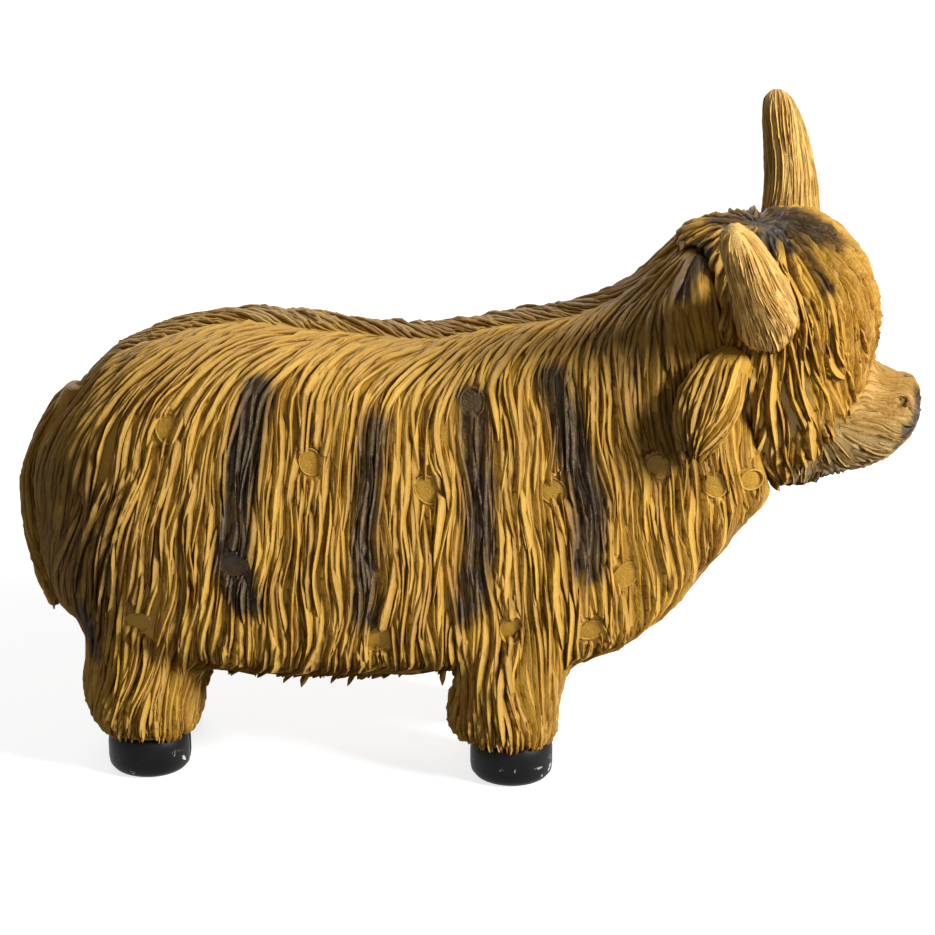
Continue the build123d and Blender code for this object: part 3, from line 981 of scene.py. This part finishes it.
# %% Pits of the seats
# Out from the middle and up, in mm, before a seat gets its own size.
pit_profile = [
    (0, -2.3), (1.9, -2.1), (3.0, -1.6), (3.7, -0.7), (4.1, 0.2), (4.5, 0.1), (4.8, -1.6),
    (0, -3.4),
]
pit_turns = 20
pit_size_shares = (0.8, 0.98)
pit_stretch_shares = (1.12, 1.38)
pit_strand = 0.3
bm = bmesh.new()
for place, facing in seats:
    upright = facing.to_track_quat("Z", "Y").to_matrix()
    size = dice.uniform(*pit_size_shares) * mm
    longer = dice.uniform(*pit_stretch_shares)
    turn = dice.uniform(0, math.tau)
    spun(bm, [(out * size, up * mm) for out, up in pit_profile], pit_turns)
    for vert in bm.verts:
        if not vert.tag:
            vert.co.x *= longer
            vert.co = place + upright @ (Matrix.Rotation(turn, 3, "Z") @ vert.co)
            vert.tag = True
mesh = closed_mesh(bm, "pressed_seats")
add_masks(mesh, bare_groove, np.full((len(mesh.vertices), 3), pit_strand))
pits = show(mesh, "pressed_seats")

# %% [markdown]
# Paint. The castings are sprayed ochre, washed with thin brown that settles in the grooves, and
# brushed with cream on the ridges. The dark marks are airbrushed over that, with painted shade on
# the rump and neck laid on in the same way, and the hooves are painted black. Shader sums are
# easier to read as sums, so a small class wraps a socket.


# %% Shader sums
class Value:
    """A number on its way through a shader, which can be added and multiplied."""

    def __init__(self, paint, socket):
        self.paint = paint
        self.socket = socket

    def _sum(self, operation, first, second):
        return self.paint.node("ShaderNodeMath", {"operation": operation}, {0: first, 1: second})

    def __add__(self, other):
        return self._sum("ADD", self, other)

    __radd__ = __add__

    def __sub__(self, other):
        return self._sum("SUBTRACT", self, other)

    def __rsub__(self, other):
        return self._sum("SUBTRACT", other, self)

    def __mul__(self, other):
        return self._sum("MULTIPLY", self, other)

    __rmul__ = __mul__


# %% Paint in the making
class Paint:
    """The nodes of a material, or of the world."""

    def __init__(self, owner):
        owner.use_nodes = True
        self.owner = owner
        self.tree = owner.node_tree
        self.tree.nodes.clear()

    def node(self, kind, settings, inputs, output=0):
        made = self.tree.nodes.new(kind)
        for key, setting in settings.items():
            setattr(made, key, setting)
        for key, given in inputs.items():
            if isinstance(given, Value):
                self.tree.links.new(given.socket, made.inputs[key])
            else:
                made.inputs[key].default_value = given
        return Value(self, made.outputs[output])

    def mix(self, share, first, second):
        return self.node("ShaderNodeMix", {"data_type": "RGBA"}, {0: share, 6: first, 7: second}, 2)

    def step(self, value, low, high):
        settings = {"interpolation_type": "SMOOTHSTEP"}
        return self.node("ShaderNodeMapRange", settings, {0: value, 1: low, 2: high})

    def noise(self, where, scale, detail, roughness=0.5):
        inputs = {"Vector": where, "Scale": scale, "Detail": detail, "Roughness": roughness}
        return self.node("ShaderNodeTexNoise", {}, inputs)

    def place(self):
        return self.node("ShaderNodeTexCoord", {}, {}, "Object")

    def attribute(self, name):
        return self.node("ShaderNodeAttribute", {"attribute_name": name}, {}, "Vector")

    def part(self, vector, axis):
        return self.node("ShaderNodeSeparateXYZ", {}, {0: vector}, axis)

    def seen(self):
        """1 for what the camera sees, straight or in a gloss or glass."""
        rays = [
            self.node("ShaderNodeLightPath", {}, {}, f"Is {kind} Ray")
            for kind in ("Camera", "Glossy", "Transmission")
        ]
        return self.step(rays[0] + rays[1] + rays[2], 0.0, 1.0)

    def close(self, surface, kind="ShaderNodeOutputMaterial"):
        output = self.tree.nodes.new(kind)
        self.tree.links.new(surface.socket, output.inputs[0])
        return self.owner

    def finish(self, colour, roughness, height, bump, distance, gloss=0.3):
        relief = self.node(
            "ShaderNodeBump", {}, {"Height": height, "Strength": bump, "Distance": distance}
        )
        return self.close(self.node("ShaderNodeBsdfPrincipled", {}, {
            "Base Color": colour, "Roughness": roughness, "Normal": relief,
            "Specular IOR Level": gloss,
        }))


def tone(red, green, blue):
    """A colour as a screen shows it, as the shader's own numbers."""
    shares = [v / 255 for v in (red, green, blue)]
    return (*[s / 12.92 if s <= 0.04 else ((s + 0.055) / 1.055) ** 2.4 for s in shares], 1)


# %% [markdown]
# Coat paint. The wash is what makes the strands read: it has run off the ridges and dried in the
# creases between them. Where two locks meet, no point of the mesh marks the crease, so the
# shader feels for it with short rays, as an Ambient Occlusion node does.

# %% Coat paint
ochre = tone(178, 132, 34)
deep_ochre = tone(142, 96, 12)
cream = tone(222, 180, 92)
umber = tone(78, 46, 0)
amber = tone(200, 140, 34)
soot = tone(22, 12, 4)
worn_soot = tone(108, 90, 62)
crease_reach = 2.6 * mm
strand_grain = (1400, 130, 3000)  # streaks for a metre across and along a lock, and its seed
cloud_grain = 45.0
fine_grain = 1500.0
torn_grain = 420.0
relief_height = 0.5 * mm


def hair_paint(name, base, deep, light, wash=0.85, brushed=0.5):
    """Ochre with brown wash in grooves, cream on ridges, dark marks and painted shade."""
    paint = Paint(bpy.data.materials.new(name))
    strand = paint.attribute("strand")
    masks = paint.attribute("paint")
    groove = paint.part(masks, 0)
    dark = paint.part(masks, 1)
    warm = paint.part(masks, 2)
    along = paint.node(
        "ShaderNodeVectorMath", {"operation": "MULTIPLY"}, {0: strand, 1: strand_grain}
    )
    where = paint.place()
    streak = paint.noise(along, 1.0, 3.0, 0.6)
    streaky = streak - 0.5
    cloud = paint.noise(where, cloud_grain, 3.0)
    cloudy = cloud - 0.5
    grain = paint.noise(where, fine_grain, 2.0)
    torn = paint.noise(where, torn_grain, 3.0, 0.65)
    clear = paint.node("ShaderNodeAmbientOcclusion", {"samples": 4}, {"Distance": crease_reach}, "AO")
    crease = paint.step(clear, 0.85, 0.3)
    deeper = paint.step(paint.part(strand, 2) + 0.5 * cloud, 0.3, 1.15)
    colour = paint.mix(deeper, base, deep)
    colour = paint.mix(warm * 0.4, colour, amber)
    ridge = paint.step(clear - 0.35 * groove + 0.5 * streaky, 0.55, 0.95)
    colour = paint.mix(ridge * brushed, colour, light)
    hollow = 0.75 * crease + 0.3 * groove
    settled = paint.step(hollow + 0.4 * streaky + 0.3 * cloudy, 0.25, 1.05)
    colour = paint.mix(settled * wash, colour, umber)
    # The dark mask also carries the painted shade on the rump and neck, which comes out as umber and
    # soot.
    halo = paint.step(dark, 0.0, 0.8)
    colour = paint.mix(halo * 0.6, colour, umber)
    broken = dark + 1.3 * streaky + 0.35 * (crease - 0.4)
    sprayed = paint.step(broken + 0.5 * cloudy, 0.36, 0.86)
    worn = paint.step(ridge + 1.6 * streaky, 0.85, 1.35)
    colour = paint.mix(sprayed * 0.9, colour, paint.mix(worn, soot, worn_soot))
    roughness = 0.56 - 0.12 * sprayed + 0.16 * (grain - 0.5)
    height = streak + 1.2 * torn + 0.3 * grain
    return paint.finish(colour, roughness, height, bump=0.8, distance=relief_height)


coat_paint = hair_paint("coat_paint", ochre, deep_ochre, cream)
muzzle_paint = hair_paint(
    "muzzle_paint", tone(158, 126, 66), tone(142, 104, 40), tone(208, 180, 120), wash=0.9,
    brushed=0.45,
)
horn_paint = hair_paint("horn_paint", tone(206, 158, 74), tone(164, 116, 40), tone(242, 208, 130))

# %% [markdown]
# Hoof paint. The black is a little worn, and near the sole it has chipped off the pale resin.
# Chips could be cut into the mesh, but they are only as deep as the paint. So a noise chooses
# them, and the height above the ground keeps them low.

# %% Hoof paint
black = tone(6, 6, 8)
worn_black = tone(20, 19, 20)
bare_resin = tone(222, 214, 200)
chip_depth = 0.2 * mm
scuff_grain = 260.0
wear_grain = 60.0
paint = Paint(bpy.data.materials.new("hoof_paint"))
where = paint.place()
scuff = paint.noise(where, scuff_grain, 4.0, 0.65)
cloud = paint.noise(where, wear_grain, 2.0)
height_share = paint.part(where, 2) * (1 / hoof_height)
near_sole = paint.step(height_share, 0.7, 0.2)
chipped = paint.step(scuff + 0.3 * (cloud - 0.5), 0.63, 0.66) * near_sole
colour = paint.mix(paint.step(cloud, 0.35, 0.7), black, worn_black)
colour = paint.mix(chipped, colour, bare_resin)
roughness = 0.32 + 0.2 * cloud + 0.3 * chipped
hoof_paint = paint.finish(colour, roughness, scuff, bump=0.25, distance=chip_depth, gloss=0.14)

# %% Paint every piece
painted = {
    coat_paint: [*coat, *head_coat, *tufts, *casts, pits],
    muzzle_paint: [muzzle_coat, head_cast],
    horn_paint: horns,
    hoof_paint: hooves,
}
for material, pieces in painted.items():
    for piece in pieces:
        piece.data.materials.append(material)
    print(material.name, len(pieces), "pieces")

# %% [markdown]
# Stage. A pale floor and three soft lamps: a key from ahead of the nose, because in the picture
# the face is the brightest and the rump the darkest, a weak fill, and a lamp for the far side.
# The background is white only for what the camera sees, so it adds no light of its own.

# %% Floor
floor_width = 6
floor_glow = (0.78, 0.78, 0.78, 1)
bpy.ops.mesh.primitive_plane_add(size=floor_width, location=(0, 0, 0))
floor = bpy.context.object
floor.name = "floor"
paint = Paint(bpy.data.materials.new("floor_paint"))
glow = paint.mix(paint.seen(), tone(0, 0, 0), floor_glow)
floor.data.materials.append(paint.close(paint.node("ShaderNodeBsdfPrincipled", {}, {
    "Base Color": tone(176, 176, 176), "Roughness": 0.9, "Emission Color": glow,
    "Emission Strength": 1.0,
})))
print("floor", floor_width, "m across")


# %% Lamps and sky
def add_lamp(name, place, size, power):
    lamp = bpy.data.lights.new(name, "AREA")
    lamp.shape = "DISK"
    lamp.size = size
    lamp.energy = power
    holder = bpy.data.objects.new(name, lamp)
    holder.location = place
    holder.rotation_euler = (Vector(place) - camera_target).to_track_quat("Z", "Y").to_euler()
    scene.collection.objects.link(holder)
    print(name, "lamp", power, "W")


add_lamp("key", (1.1, -0.52, 0.75), size=0.4, power=30)
add_lamp("fill", (0.2, -1.3, 0.6), size=1.0, power=0.5)
add_lamp("back", (-0.3, 1.1, 0.9), size=0.8, power=7)
sky_light = 0.08
scene.world = bpy.data.worlds.new("studio")
paint = Paint(scene.world)
sky = paint.mix(paint.seen(), (sky_light, sky_light, sky_light, 1), (1, 1, 1, 1))
paint.close(paint.node("ShaderNodeBackground", {}, {"Color": sky}), "ShaderNodeOutputWorld")
scene.view_settings.view_transform = "Standard"
